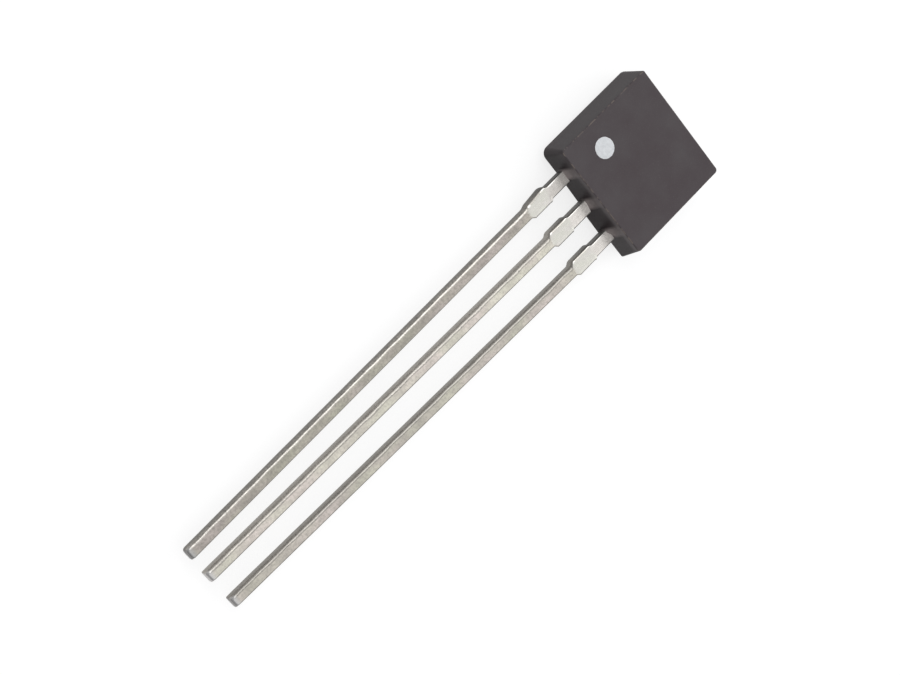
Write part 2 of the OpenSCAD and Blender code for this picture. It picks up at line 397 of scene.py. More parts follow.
def foot_place():
    """Y of the shoulders' feet, where the legs start."""
    return exit_place() - NECK_LENGTH - SHOULDER_LENGTH


# ---- Node trees ----

def new_material(name):
    """A material and its Principled shader."""
    material = bpy.data.materials.new(name)
    material.use_nodes = True
    return material, material.node_tree.nodes["Principled BSDF"]


def add_node(tree, kind, **values):
    """A node of that kind; its inputs take the values by name."""
    node = tree.nodes.new(kind)
    for name, value in values.items():
        node.inputs[name.replace("_", " ")].default_value = value
    return node


def place_texture(tree, stretch=(1.0, 1.0, 1.0)):
    """The piece's own coordinates, stretched along its axes."""
    coordinates = add_node(tree, "ShaderNodeTexCoord")
    mapping = add_node(tree, "ShaderNodeMapping", Scale=stretch)
    tree.links.new(coordinates.outputs["Object"], mapping.inputs["Vector"])
    return mapping.outputs["Vector"]


def noise_field(tree, vector, size, detail=3.0, roughness=0.55):
    """Soft noise whose lumps are about that size, in metres."""
    field = add_node(tree, "ShaderNodeTexNoise", Scale=1.0 / size, Detail=detail, Roughness=roughness)
    tree.links.new(vector, field.inputs["Vector"])
    return field.outputs["Fac"]


def remap(tree, value, low, high, from_low=0.3, from_high=0.7):
    """The value brought to a new range, clamped."""
    node = add_node(tree, "ShaderNodeMapRange")
    node.inputs["From Min"].default_value = from_low
    node.inputs["From Max"].default_value = from_high
    node.inputs["To Min"].default_value = low
    node.inputs["To Max"].default_value = high
    tree.links.new(value, node.inputs["Value"])
    return node.outputs["Result"]


def fade_in(tree, value, from_low=0.3, from_high=0.7):
    """0 below the span of values, 1 above it."""
    return remap(tree, value, 0.0, 1.0, from_low, from_high)


def fade_out(tree, value, from_low, from_high):
    """1 below the span of values, 0 above it."""
    return remap(tree, value, 1.0, 0.0, from_low, from_high)


def mix_colours(tree, factor, first, second):
    """Colour between two; each is a colour or a socket."""
    node = tree.nodes.new("ShaderNodeMix")
    node.data_type = "RGBA"
    for socket, colour in ((node.inputs[6], first), (node.inputs[7], second)):
        if isinstance(colour, bpy.types.NodeSocket):
            tree.links.new(colour, socket)
        else:
            socket.default_value = (*colour, 1.0)
    tree.links.new(factor, node.inputs[0])
    return node.outputs[2]


def mix_values(tree, factor, first, second):
    """Value between two sockets."""
    node = tree.nodes.new("ShaderNodeMix")
    tree.links.new(factor, node.inputs[0])
    tree.links.new(first, node.inputs[2])
    tree.links.new(second, node.inputs[3])
    return node.outputs[0]


def bump(tree, height, distance, strength=1.0, below=None):
    """Normal raised by the height; below is an earlier bump to add to."""
    node = add_node(tree, "ShaderNodeBump", Strength=strength, Distance=distance)
    tree.links.new(height, node.inputs["Height"])
    if below is not None:
        tree.links.new(below, node.inputs["Normal"])
    return node.outputs["Normal"]


def math_node(tree, operation, first, second=None):
    """One arithmetic step; each value is a number or a socket."""
    node = add_node(tree, "ShaderNodeMath")
    node.operation = operation
    for socket, value in zip(node.inputs, (first, second)):
        if isinstance(value, bpy.types.NodeSocket):
            tree.links.new(value, socket)
        elif value is not None:
            socket.default_value = value
    return node.outputs["Value"]


def multiply(tree, first, *others):
    """Product of sockets and numbers."""
    product = first
    for other in others:
        product = math_node(tree, "MULTIPLY", product, other)
    return product


def distance_from(tree, value, middle):
    """How far the value is from the middle, to either side."""
    return math_node(tree, "ABSOLUTE", math_node(tree, "SUBTRACT", value, middle))


def axis_part(tree, vector, axis):
    """One of the three parts of a vector."""
    split = add_node(tree, "ShaderNodeSeparateXYZ")
    tree.links.new(vector, split.inputs["Vector"])
    return split.outputs[axis]


def normal_part(tree, axis):
    """How far the surface faces along an axis, from -1 to 1."""
    return axis_part(tree, add_node(tree, "ShaderNodeNewGeometry").outputs["Normal"], axis)


def place_part(tree, axis):
    """Where the surface is along an axis, in metres."""
    return axis_part(tree, add_node(tree, "ShaderNodeTexCoord").outputs["Object"], axis)


def blend_colours(first, second, share):
    """A colour that share of the way from the first to the second."""
    return tuple(a + share * (b - a) for a, b in zip(first, second))


def tinted(tone, tint):
    """That tint at that tone."""
    return tuple(tone * part for part in tint)


# ---- Material of the body ----

def end_wall_share(tree):
    """1 on the end wall that the leads leave."""
    return fade_out(tree, normal_part(tree, "Y"), *END_WALL_NORMAL)


def rim_highlight_share(tree, breakup):
    """A painted highlight on the rounded rims, between the walls and the marked face, broken into spots."""
    upward = normal_part(tree, "Z")
    above_wall = fade_in(tree, upward, *ABOVE_WALL_NORMAL)
    below_face = fade_out(tree, upward, *BELOW_FACE_NORMAL)
    return multiply(tree, above_wall, below_face, remap(tree, breakup, *BREAKUP_ON_RIM))


def lead_reflection_share(tree, breakup):
    """The painted reflections of the leads on the end wall: a paler patch above each lead."""
    across = math_node(tree, "ADD", place_part(tree, "X"), REFLECTION_SHIFT)
    off_lead = math_node(tree, "PINGPONG", across, LEAD_SPACING / 2)
    over_lead = fade_out(tree, off_lead, *REFLECTION_OFF_LEAD)
    height = place_part(tree, "Z")
    above_lead = fade_in(tree, height, *REFLECTION_RISE_Z)
    fading = remap(tree, height, 1.0, REFLECTION_FADED, *REFLECTION_FADE_Z)
    up_wall = multiply(tree, above_lead, fading)
    stronger_left = remap(tree, across, REFLECTION_LEFT_GAIN, 1.0, *REFLECTION_LEFT_X)
    chipped = remap(tree, breakup, *BREAKUP_ON_REFLECTION)
    return multiply(tree, over_lead, end_wall_share(tree), up_wall, stronger_left, chipped)


def paint_wall_shade(tree, colour):
    """That colour with painted shade, darker on the walls and darkest low on the end wall, and a painted
    highlight in a band at its top.
    """
    height = place_part(tree, "Z")
    on_end = end_wall_share(tree)
    near_rim = multiply(tree, on_end, fade_in(tree, height, *UNSHADED_Z))
    off_rim = remap(tree, near_rim, 1.0, WALL_SHADE_AT_RIM, 0.0, 1.0)
    on_wall = remap(tree, normal_part(tree, "Z"), WALL_SHADE_DEPTH, 0.0, *WALL_NORMAL)
    shaded = mix_colours(tree, multiply(tree, on_wall, off_rim), colour, PAINTED_WALL_SHADE)
    lower_wall = multiply(tree, on_end, LOWER_WALL_DEPTH, fade_out(tree, height, *LOWER_WALL_Z))
    deeper = mix_colours(tree, lower_wall, shaded, PAINTED_LOWER_WALL_SHADE)
    upper_band = multiply(tree, on_end, remap(tree, height, 0.0, UPPER_BAND_DEPTH, *UPPER_BAND_Z))
    fading = remap(tree, place_part(tree, "X"), UPPER_BAND_ON_LEFT, 1.0, *UPPER_BAND_X)
    return mix_colours(tree, multiply(tree, upper_band, fading), deeper, PAINTED_UPPER_HIGHLIGHT)


def moulding_epoxy():
    """Charcoal epoxy: cloudy tone, silica specks, the grain of a spark-eroded mould, painted shade on its
    walls, painted reflections of the leads and a painted highlight on its rims.
    """
    material, shader = new_material("moulding_epoxy")
    tree = material.node_tree
    place = place_texture(tree)
    clouds = noise_field(tree, place, CLOUD_SIZE, detail=4.0)
    specks = noise_field(tree, place, SPECK_SIZE, detail=2.0)
    grain = noise_field(tree, place, GRAIN_SIZE, detail=2.0)
    breakup = noise_field(tree, place, BREAKUP_SIZE)
    cloudy = mix_colours(tree, fade_in(tree, clouds), EPOXY_DARK, EPOXY_PALE)
    speckled = mix_colours(tree, remap(tree, specks, *SPECKS_SHOWN), cloudy, SILICA_SPECK)
    reflected = mix_colours(tree, lead_reflection_share(tree, breakup), paint_wall_shade(tree, speckled), PAINTED_LEAD_REFLECTION)
    rim_highlighted = mix_colours(tree, rim_highlight_share(tree, breakup), reflected, PAINTED_RIM_HIGHLIGHT)
    tree.links.new(rim_highlighted, shader.inputs["Base Color"])
    shader.inputs["Specular IOR Level"].default_value = EPOXY_SPECULAR
    tree.links.new(remap(tree, specks, *EPOXY_ROUGHNESS), shader.inputs["Roughness"])
    soft = bump(tree, clouds, CLOUD_RELIEF, CLOUD_STRENGTH)
    tree.links.new(bump(tree, grain, GRAIN_RELIEF, GRAIN_STRENGTH, soft), shader.inputs["Normal"])
    return material


# ---- Material of the leads ----

def shoulder_share(tree, ragged):
    """1 on the burnished shoulder, with a ragged end beyond its tapers."""
    length = SHOULDER_LENGTH + SHOULDER_STRETCH
    off_middle = distance_from(tree, place_part(tree, "Y"), foot_place() + length / 2)
    fray = remap(tree, ragged, -SHOULDER_FRAY, SHOULDER_FRAY)
    frayed = math_node(tree, "ADD", off_middle, fray)
    return fade_out(tree, frayed, *(length * share for share in SHOULDER_END))


def neck_share(tree):
    """1 on the neck above the shoulder, which the solder bath never reached."""
    return fade_in(tree, place_part(tree, "Y"), foot_place(), exit_place() - NECK_LENGTH)


def bleed_share(tree):
    """1 on the last of the neck, under the film of resin that bled from the mould."""
    return fade_in(tree, place_part(tree, "Y"), exit_place() - BLEED_START, exit_place() - BLEED_FULL)


def tip_share(tree, name):
    """1 on the last of the lead, where it was cropped."""
    tip_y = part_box(name)[0].y - LEADS[name]["tip_build"]
    return fade_out(tree, place_part(tree, "Y"), *(tip_y + radii * TIP_RADIUS for radii in CROPPED_TIP))


def highlight_streak_share(tree):
    """1 where the painted highlight along the rolled edge is brightest."""
    start = foot_place() + HIGHLIGHT_STREAK_START
    end = foot_place() + HIGHLIGHT_STREAK_END
    rising = fade_in(tree, place_part(tree, "Y"), start, start + HIGHLIGHT_STREAK_FADE)
    falling = fade_out(tree, place_part(tree, "Y"), end - HIGHLIGHT_STREAK_FADE, end + HIGHLIGHT_STREAK_FADE)
    return multiply(tree, rising, falling)


def painted_glint_share(tree, rightward):
    """1 on the painted glint at the lower left corner of the shoulder."""
    off_corner = distance_from(tree, place_part(tree, "Y"), foot_place() + GLINT_RISE)
    spot = fade_out(tree, off_corner, 0.5 * GLINT_LENGTH, GLINT_LENGTH)
    return multiply(tree, spot, fade_out(tree, rightward, *GLINT_NORMAL))


def tin_top(tree, look, pools, pits, streaks):
    """Colour of the top face: mottled tin, paler on the neck."""
    rosy, sallow, dark = (blend_colours(*tin, look["tarnish"]) for tin in (ROSY_TIN, SALLOW_TIN, DARK_TIN))
    hues = noise_field(tree, place_texture(tree, HUE_STRETCH), HUE_SIZE, detail=2.0)
    tin = mix_colours(tree, fade_in(tree, hues, *HUE_SPAN), rosy, sallow)
    neck = neck_share(tree)
    necked = mix_colours(tree, neck, tin, tinted(look["neck"], NECK_TINT))
    dulled = mix_colours(tree, neck, dark, tinted(look["neck"], NECK_POOL_TINT))
    pooled = mix_colours(tree, remap(tree, pools, *POOLS_ON_TOP), necked, dulled)
    pitted = mix_colours(tree, remap(tree, pits, *PITS_ON_TOP), pooled, dulled)
    return mix_colours(tree, remap(tree, streaks, *STREAKS_ON_TOP), pitted, dulled)


def paint_leg_ridge(tree, look, rightward, top, highlight_streak, pits):
    """Colour of the leg's and the neck's top, with a painted highlight and shade on the ridge of the rolled
    edge.
    """
    neck = neck_share(tree)
    leg_ridge = fade_out(tree, rightward, *LEG_RIDGE_NORMAL)
    neck_ridge = fade_out(tree, rightward, *NECK_RIDGE_NORMAL)
    ridge_span = mix_values(tree, neck, leg_ridge, neck_ridge)
    ridge = multiply(tree, ridge_span, remap(tree, pits, *RIDGE_OVER_PITS))
    neck_edge = mix_colours(tree, highlight_streak, NECK_EDGE, PAINTED_HIGHLIGHT_TIN)
    ridge_tin = mix_colours(tree, neck, tinted(look["painted_ridge"], PAINTED_RIDGE_TINT), neck_edge)
    return mix_colours(tree, ridge, top, ridge_tin)


def burnished_shoulder(tree, look, rightward, highlight_streak, pools, pits):
    """Colour of the shoulder's top, which the tool pressed flat, with the tone painted on its rolled edge and
    a painted glint on its lower left corner.
    """
    pale = mix_colours(tree, fade_in(tree, pools, *COINED_HUE_SPAN), *COINED_TIN)
    burnished = mix_colours(tree, remap(tree, pits, *PITS_ON_SHOULDER), pale, COINED_PIT)
    edge = mix_colours(tree, highlight_streak, tinted(look["edge"], SIDE_TINT), PAINTED_HIGHLIGHT_TIN)
    edged = mix_colours(tree, fade_out(tree, rightward, *SHOULDER_EDGE_NORMAL), burnished, edge)
    return mix_colours(tree, painted_glint_share(tree, rightward), edged, PAINTED_GLINT)


def left_side(tree, look, upward, pools, pits):
    """Colour of the left side: painted shade over the sheared metal's duller tone, lighter where it rolls
    over, darkest on the neck.
    """
    foot = tinted(look["foot"], SIDE_TINT)
    roll = tinted(look["roll"], SIDE_TINT)
    stain = tinted(PIT_TONE * look["foot"], SIDE_TINT)
    rolling = mix_colours(tree, fade_in(tree, upward, *ROLL_NORMAL), foot, roll)
    pooled = mix_colours(tree, remap(tree, pools, *POOLS_ON_SIDE), rolling, foot)
    pitted = mix_colours(tree, remap(tree, pits, *PITS_ON_SIDE), pooled, stain)
    return mix_colours(tree, multiply(tree, neck_share(tree), NECK_SIDE_DEPTH), pitted, PAINTED_NECK_SIDE_SHADE)


def with_sides(tree, look, top, rightward, upward, flank, pools, pits):
    """The top's colour with the painted shade line along the right edge and the colours of both sides, the
    left one painted shade.
    """
    right_edge_shade = mix_colours(tree, neck_share(tree), tinted(look["right_edge_shade"], SIDE_TINT), NECK_RIGHT_EDGE_SHADE)
    right_edge_shaded = mix_colours(tree, remap(tree, rightward, 0.0, RIGHT_EDGE_SHADE_DEPTH, *RIGHT_EDGE_SHADE_NORMAL), top, right_edge_shade)
    left = left_side(tree, look, upward, pools, pits)
    sides = mix_colours(tree, fade_in(tree, rightward, *RIGHT_SIDE_NORMAL), left, RIGHT_SIDE)
    return mix_colours(tree, flank, right_edge_shaded, sides)


def with_tip(tree, name, colour, upward):
    """That colour with the cropped tip's top and its cut end."""
    look = LEADS[name]
    tip = tip_share(tree, name)
    tip_top = multiply(tree, tip, fade_in(tree, upward, *TIP_TOP_NORMAL))
    rimmed = mix_colours(tree, tip_top, colour, tinted(look["tip"], TIP_TINT))
    cut_end = multiply(tree, tip, fade_out(tree, normal_part(tree, "Y"), *CUT_NORMAL))
    return mix_colours(tree, cut_end, rimmed, tinted(look["cut"], CUT_TINT))


def tinned_lead(name):
    """Dipped tin: pitted and mottled, with painted highlights and shade on its rolled edges and a painted
    shade line along its right edge, rougher on its sheared left side and painted darker there.
    """
    look = LEADS[name]
    material, shader = new_material("tinned_" + name)
    tree = material.node_tree
    streaks = noise_field(tree, place_texture(tree, STREAK_STRETCH), STREAK_SIZE)
    pools = noise_field(tree, place_texture(tree, POOL_STRETCH), POOL_SIZE)
    pits = noise_field(tree, place_texture(tree), PIT_SIZE, detail=2.0)
    upward = normal_part(tree, "Z")
    rightward = normal_part(tree, "X")
    highlight_streak = highlight_streak_share(tree)
    coined = shoulder_share(tree, pools)
    flank = fade_out(tree, upward, *SIDE_NORMAL)

    leg = paint_leg_ridge(tree, look, rightward, tin_top(tree, look, pools, pits, streaks), highlight_streak, pits)
    shoulder = burnished_shoulder(tree, look, rightward, highlight_streak, pools, pits)
    top = mix_colours(tree, coined, leg, shoulder)
    sided = with_sides(tree, look, top, rightward, upward, flank, pools, pits)
    tree.links.new(with_tip(tree, name, sided, upward), shader.inputs["Base Color"])

    bleed = bleed_share(tree)
    tree.links.new(remap(tree, bleed, 1.0, BLED_METALLIC, 0.0, 1.0), shader.inputs["Metallic"])
    left_flank = multiply(tree, flank, fade_out(tree, rightward, *LEFT_SIDE_NORMAL), LEFT_SIDE_ROUGHNESS)
    sheen = remap(tree, streaks, *SHEEN)
    tree.links.new(math_node(tree, "MAXIMUM", left_flank, sheen), shader.inputs["Roughness"])
    soft = bump(tree, pools, POOL_RELIEF, POOL_STRENGTH)
    lined = bump(tree, streaks, STREAK_RELIEF, STREAK_STRENGTH, soft)
    smooth = math_node(tree, "MAXIMUM", coined, bleed)
    open_pits = multiply(tree, pits, remap(tree, smooth, 1.0, SMOOTHED_PITS, 0.0, 1.0))
    tree.links.new(bump(tree, open_pits, PIT_RELIEF, PIT_STRENGTH, lined), shader.inputs["Normal"])
    return material


# ---- Materials of the small pieces ----

def mottled(name, light, dark, size, roughness, metallic):
    """A plain mottled finish, for the ink and the small pieces sealed inside the body."""
    material, shader = new_material(name)
    tree = material.node_tree
    field = noise_field(tree, place_texture(tree), size)
    tree.links.new(mix_colours(tree, fade_in(tree, field), light, dark), shader.inputs["Base Color"])
    shader.inputs["Metallic"].default_value = metallic
    tree.links.new(remap(tree, field, roughness, roughness + ROUGHNESS_SPREAD), shader.inputs["Roughness"])
    tree.links.new(bump(tree, field, MOTTLED_RELIEF), shader.inputs["Normal"])
    return material


def finish_inside():
    """Gives the construction's own pieces inside the body their materials."""
    gold = mottled("bond_gold", *GOLD)
    finishes = {
        "die_attach": mottled("silver_adhesive", *ADHESIVE),
        "sensor_die": mottled("silicon", *SILICON),
        "supply_wire": gold,
        "ground_wire": gold,
        "output_wire": gold,
    }
    for name, finish in finishes.items():
        materials = frame["nodes"][name].data.materials
        materials.clear()
        materials.append(finish)


# ---- Mesh helpers ----

def new_piece(name, bm, material):
    """A mesh object made from the bmesh, shaded smooth with weighted normals."""
    bmesh.ops.recalc_face_normals(bm, faces=bm.faces)
    mesh = bpy.data.meshes.new(name)
    bm.to_mesh(mesh)
    bm.free()
    mesh.materials.append(material)
    mesh.shade_smooth()
    piece = bpy.data.objects.new(name, mesh)
    bpy.context.scene.collection.objects.link(piece)
    weighted = piece.modifiers.new("weighted_normals", "WEIGHTED_NORMAL")
    weighted.keep_sharp = True
    weighted.weight = 100
    return piece


def dress(piece, slot, *nodes):
    """Puts a finished piece on the body in place of its CAD nodes."""
    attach(piece, BODY)
    if nodes:
        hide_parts(*nodes)


def join_rings(bm, lower, upper):
    """A band of four-sided faces between two rings of equal count."""
    count = len(lower)
    for i in range(count):
        j = (i + 1) % count
        bm.faces.new((lower[i], lower[j], upper[j], upper[i]))


def ring_edges(bm, ring):
    """The edges that run round a ring."""
    return [bm.edges.get((ring[i], ring[(i + 1) % len(ring)])) for i in range(len(ring))]


def settle_order(bm):
    """Puts vertices and faces in the order of their places, so that each run gives the same mesh."""
    in_place = sorted(bm.verts, key=lambda vert: tuple(vert.co))
    vert_ranks = {vert: rank for rank, vert in enumerate(in_place)}
    by_corners = sorted(bm.faces, key=lambda face: sorted(vert_ranks[vert] for vert in face.verts))
    face_ranks = {face: rank for rank, face in enumerate(by_corners)}
    bm.faces.sort(key=lambda face: face_ranks[face])
    bm.verts.sort(key=lambda vert: vert_ranks[vert])


# ---- Moulded body ----

def rounded_ring(bm, centre, half_x, half_y, radii, z, flash):
    """Vertices of a rounded rectangle at height z, with that share of the flash.

    They run round from its top right corner, and so do the radii.
    """
    ring = []
    for quarter, radius in enumerate(radii):
        side_x = 1 if quarter in (0, 3) else -1
        side_y = 1 if quarter in (0, 1) else -1
        corner = Vector((side_x * (half_x - radius), side_y * (half_y - radius), z)) + centre
        for step in range(CORNER_STEPS + 1):
            angle = QUARTER_TURN * (quarter + step / CORNER_STEPS)
            ring.append(bm.verts.new(corner + Vector((math.cos(angle), math.sin(angle), 0)) * radius))
        if quarter == 2:
            ring += [bm.verts.new(centre + Vector((x, -half_y - flash * out, z))) for x, out in FLASH_OUTLINE]
    return ring


def open_ejector_mark(bm):
    """The rear face opened round the ejector mark, and the mark's wall and floor."""
    rear_face = min(bm.faces, key=lambda face: face.calc_center_median().z)
    rear_edges = list(rear_face.edges)
    bmesh.ops.delete(bm, geom=[rear_face], context="FACES_ONLY")
    rim = []
    floor = []
    for i in range(EJECTOR_SIDES):
        angle = 2 * math.pi * i / EJECTOR_SIDES
        x = EJECTOR_RADIUS * math.cos(angle)
        y = EJECTOR_Y + EJECTOR_RADIUS * math.sin(angle)
        rim.append(bm.verts.new((x, y, 0)))
        floor.append(bm.verts.new((x, y, EJECTOR_DEPTH)))
    join_rings(bm, rim, floor)
    bm.faces.new(floor)
    bmesh.ops.triangle_fill(bm, edges=rear_edges + ring_edges(bm, rim), use_beauty=True)


def body_levels(height):
    """Of each ring: z, both insets, corner radii, share of the flash, radius of its edge if rounded."""
    front = height - PARTING_Z
    side_inset = front * math.tan(SIDE_DRAFT)
    end_inset = front * math.tan(END_DRAFT)
    rear_radii = [FACE_CORNER_RADIUS] * 4
    parting_radii = [CORNER_RADIUS, FAR_CORNER_RADIUS, CORNER_RADIUS, GATE_CORNER_RADIUS]
    face_radii = [FACE_CORNER_RADIUS, FAR_FACE_CORNER_RADIUS, FACE_CORNER_RADIUS, FACE_CORNER_RADIUS]
    rise = (FLASH_TOP - PARTING_Z) / front
    flash_radii = [low + rise * (high - low) for low, high in zip(parting_radii, face_radii)]
    return (
        (0.0, REAR_BEVEL, REAR_BEVEL, rear_radii, 0.0, RIM_RADIUS),
        (PARTING_Z, 0.0, 0.0, parting_radii, 1.0, SEAM_RADIUS),
        (PARTING_Z + LAND, 0.0, 0.0, parting_radii, 1.0, SEAM_RADIUS),
        (FLASH_TOP, rise * side_inset, rise * end_inset, flash_radii, 0.0, None),
        (height, side_inset, end_inset, face_radii, 0.0, RIM_RADIUS),
    )


def moulded_body():
    """Drafted block with its parting land, flash, rear bevel, corner radii and ejector mark."""
    low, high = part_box("moulded_body")
    half_x = (high.x - low.x) / 2
    half_y = (high.y - low.y) / 2
    centre = Vector(((high.x + low.x) / 2, (high.y + low.y) / 2, 0))
    levels = body_levels(high.z)
    bm = bmesh.new()
    rings = [
        rounded_ring(bm, centre, half_x - inset_x, half_y - inset_y, radii, z, flash)
        for z, inset_x, inset_y, radii, flash, _ in levels
    ]
    for lower, upper in zip(rings, rings[1:]):
        join_rings(bm, lower, upper)
    bm.faces.new(rings[-1])
    bm.faces.new(reversed(rings[0]))
    bm.normal_update()
    for ring, level in zip(rings, levels):
        edge_radius = level[-1]
        if edge_radius is not None:
            bmesh.ops.bevel(
                bm, geom=ring_edges(bm, ring), offset=edge_radius, offset_type="OFFSET",
                segments=RIM_SEGMENTS, profile=0.5, affect="EDGES", clamp_overlap=True,
            )
    open_ejector_mark(bm)
    settle_order(bm)
    dress(new_piece("moulded_body_skin", bm, moulding_epoxy()), "moulding_epoxy", "moulded_body")


# ---- Leads ----

def skin_place(y, exit_y, stretch):
    """Where the skin has what the construction has at y: its shoulder ends nearer the body."""
    shoulder_top = exit_y - NECK_LENGTH
    shoulder_foot = shoulder_top - SHOULDER_LENGTH
    if not shoulder_foot < y < exit_y:
        return y
    if y > shoulder_top:
        return exit_y - (exit_y - y) * (1 - stretch / NECK_LENGTH)
    return shoulder_foot + (y - shoulder_foot) * (1 + stretch / SHOULDER_LENGTH)


def plan_outline(name, exit_y, stretch):
    """Edges of the lead's top face, as pairs of points, with the skin's longer shoulder."""
    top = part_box(name)[1].z
    bm = bmesh.new()
    bm.from_mesh(frame["nodes"][name].data)
    bmesh.ops.remove_doubles(bm, verts=bm.verts, dist=WELD_DISTANCE)
    edges = [
        edge for edge in bm.edges
        if all(abs(vert.co.z - top) < MICRON for vert in edge.verts)
        and edge.calc_face_angle(0) > SHARP_ANGLE
    ]
    outline = [
        tuple(Vector((vert.co.x, skin_place(vert.co.y, exit_y, stretch), top)) for vert in edge.verts)
        for edge in edges
    ]
    bm.free()
    return outline


def reach(outline, y):
    """Left and right of the outline at one place along the lead."""
    crossings = []
    for pair in outline:
        near, far = sorted(pair, key=lambda point: point.y)
        if near.y <= y <= far.y and far.y > near.y:
            share = (y - near.y) / (far.y - near.y)
            crossings.append(near.x + share * (far.x - near.x))
    return min(crossings), max(crossings)


def zone_shares(y, exit_y):
    """How far y is through the shoulder, from its foot, held between 0 and 1, and a fade at its ends."""
    length = SHOULDER_LENGTH + SHOULDER_STRETCH
    foot = exit_y - NECK_LENGTH - SHOULDER_LENGTH
    through = min(1.0, max(0.0, (y - foot) / length))
    return through, min(1.0, SHOULDER_FADES * through, SHOULDER_FADES * (1 - through))


def zoned(y, exit_y, leg, shoulder, neck):
    """A length that changes from leg to shoulder to neck."""
    through, inside = zone_shares(y, exit_y)
    off_shoulder = leg + through * (neck - leg)
    return off_shoulder + inside * (shoulder - off_shoulder)


def soft_reach(look, outlines, y, exit_y):
    """The same outside the body with its corners softened, its slant, its bow and the tin on its sides."""
    left_outline, right_outline = outlines
    if y > exit_y + SOFTENED_INSIDE_BODY:
        return reach(left_outline, y)
    count = len(SOFTENING_SAMPLES)
    left = sum(reach(left_outline, y + LEFT_SOFTENING * part)[0] for part in SOFTENING_SAMPLES) / count
    right = sum(reach(right_outline, y + RIGHT_SOFTENING * part)[1] for part in SOFTENING_SAMPLES) / count
    build = zoned(y, exit_y, look["leg_build"], look["shoulder_build"], look["neck_build"])
    through, inside = zone_shares(y, exit_y)
    below_foot = max(0.0, exit_y - NECK_LENGTH - SHOULDER_LENGTH - y)
    bow = look["bow"] * (1 - math.exp(-below_foot / BOW_LENGTH))
    slant = look["slant"] * inside * (0.5 - through)
    return left + bow + slant - look["left_build"], right + bow + build


def stations(outlines, low_y, high_y, exit_y):
    """Places along the lead where it gets a cross-section."""
    places = {
        point.y + shift
        for outline in outlines for pair in outline for point in pair for shift in (-MICRON, MICRON)
    }
    count = round((high_y - low_y) / STATION_STEP)
    places.update(low_y + (high_y - low_y) * i / count for i in range(count))
    fine_low = exit_y - NECK_LENGTH - SHOULDER_LENGTH - FINE_BELOW_SHOULDER
    fine_count = round((exit_y - fine_low) / FINE_STATION_STEP)
    places.update(fine_low + FINE_STATION_STEP * i for i in range(fine_count))
    places = {y for y in places if low_y + TIP_RADIUS < y < high_y - MICRON}
    nose = [low_y + TIP_RADIUS * (1 - math.cos(QUARTER_TURN * i / TIP_STEPS)) for i in range(TIP_STEPS + 1)]
    return sorted(places | set(nose) | {high_y - MICRON})


def section(left, right, bottom, top, radii):
    """Cross-section of a lead with its corner radii, from its upper right corner round to the left."""
    corners = ((right, top, -1, -1), (left, top, 1, -1), (left, bottom, 1, 1), (right, bottom, -1, 1))
    arcs = []
    for quarter, ((x, z, inward_x, inward_z), radius) in enumerate(zip(corners, radii)):
        centre = Vector((x + inward_x * radius, 0, z + inward_z * radius))
        turns = [QUARTER_TURN * (quarter + i / ARC_STEPS) for i in range(ARC_STEPS + 1)]
        arcs.append([centre + Vector((math.cos(a), 0, math.sin(a))) * radius for a in turns])
    points = []
    for arc, following in zip(arcs, arcs[1:] + arcs[:1]):
        points += arc
        points += [arc[-1].lerp(following[0], i / FLAT_STEPS) for i in range(1, FLAT_STEPS)]
    return points


def tip_inset(y, tip_y, radius):
    """How far a tip rounded to that radius draws the cross-section in."""
    short = max(0.0, radius - (y - tip_y))
    return radius - math.sqrt(radius ** 2 - short ** 2)


def skin_section(look, outlines, box, exit_y, y, wander):
    """The tin's cross-section at one place along the lead."""
    low, high = box
    left, right = soft_reach(look, outlines, max(y, low.y + TIP_SQUARE), exit_y)
    tip_y = low.y - look["tip_build"]
    left += tip_inset(y, tip_y, look["tip_corner"])
    right -= tip_inset(y, tip_y, TIP_RIGHT_RADIUS)
    bottom = low.z + tip_inset(y, tip_y, TIP_UNDER_RADIUS)
    top = high.z - tip_inset(y, tip_y, TIP_RADIUS)
    rolled = wander * zoned(y, exit_y, look["leg_roll"], look["shoulder_roll"], NECK_ROLLED_RADIUS)
    rolled = min(rolled, top - bottom - look["under"] - MICRON)
    return section(left, right, bottom, top, (TRIMMED_RADIUS, rolled, look["under"], SHEARED_RADIUS))


def add_waves(bm, exit_y, seed):
    """Draws the surface in by slow waves, outside the body."""
    bmesh.ops.recalc_face_normals(bm, faces=bm.faces)
    bm.normal_update()
    for vert in bm.verts:
        if vert.co.y < exit_y:
            wave = noise.noise(vert.co / WAVE_LENGTH + Vector((seed, 0, 0)))
            vert.co -= vert.normal * WAVE_DEPTH * (1 + wave) / 2


def tin_skin(name, seed):
    """A lead with the rounded edges, soft corners and slow waves of its dipped tin."""
    look = LEADS[name]
    low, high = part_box(name)
    exit_y = exit_place()
    outlines = [plan_outline(name, exit_y, look[key]) for key in ("left_stretch", "right_stretch")]
    bm = bmesh.new()
    rings = []
    for y in stations(outlines, low.y - look["tip_build"], high.y, exit_y):
        wander = 1 + ROLLED_WANDER * noise.noise(Vector((seed, y / WAVE_LENGTH, 0)))
        points = skin_section(look, outlines, (low, high), exit_y, y, wander)
        rings.append([bm.verts.new(point + Vector((0, y, 0))) for point in points])
    for lower, upper in zip(rings, rings[1:]):
        join_rings(bm, lower, upper)
    bm.faces.new(rings[0])
    bm.faces.new(reversed(rings[-1]))
    add_waves(bm, exit_y, seed)
    dress(new_piece(name + "_tin", bm, tinned_lead(name)), "tinned_lead", name)


# ---- Ink dot ----

